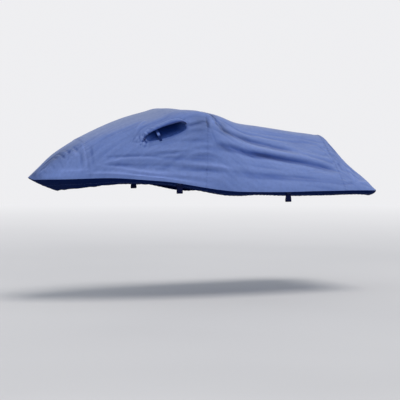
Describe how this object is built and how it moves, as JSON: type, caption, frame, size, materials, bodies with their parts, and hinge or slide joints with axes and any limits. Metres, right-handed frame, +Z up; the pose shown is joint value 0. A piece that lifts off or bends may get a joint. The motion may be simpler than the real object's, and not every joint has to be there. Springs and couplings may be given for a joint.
{
  "type": "personal watercraft cover",
  "caption": "Hollow fitted cloth cover for a personal watercraft, with cross-seamed panels, a turned-in hem, side vents and webbing tie-down loops.",
  "frame": {"origin": "inner face of the cloth under the crest of the steering pod, on the centre line, where the craft holds the cover up", "axes": "+X from bow to stern, +Y to starboard, +Z up"},
  "size_m": [3.15, 1.2138, 0.816],
  "materials": {
    "cover_cloth": "blue woven polyester, slightly faded, matt with a faint sheen",
    "vent_mesh": "near-black woven mesh",
    "vent_prop": "stiffened strip of the cover's cloth",
    "webbing": "dark navy woven webbing"
  },
  "bodies": {
    "root": {"nose_panel": "cover_cloth", "hood_panel": "cover_cloth", "seat_panel": "cover_cloth", "tail_panel": "cover_cloth", "vent_cowl_port": "cover_cloth", "vent_cowl_starboard": "cover_cloth", "vent_mesh_port": "vent_mesh", "vent_mesh_starboard": "vent_mesh", "vent_prop_port": "vent_prop", "vent_prop_starboard": "vent_prop", "tie_loop_port_fore": "webbing", "tie_loop_port_aft": "webbing", "tie_loop_starboard_fore": "webbing", "tie_loop_starboard_aft": "webbing"}
  },
  "joints": []
}
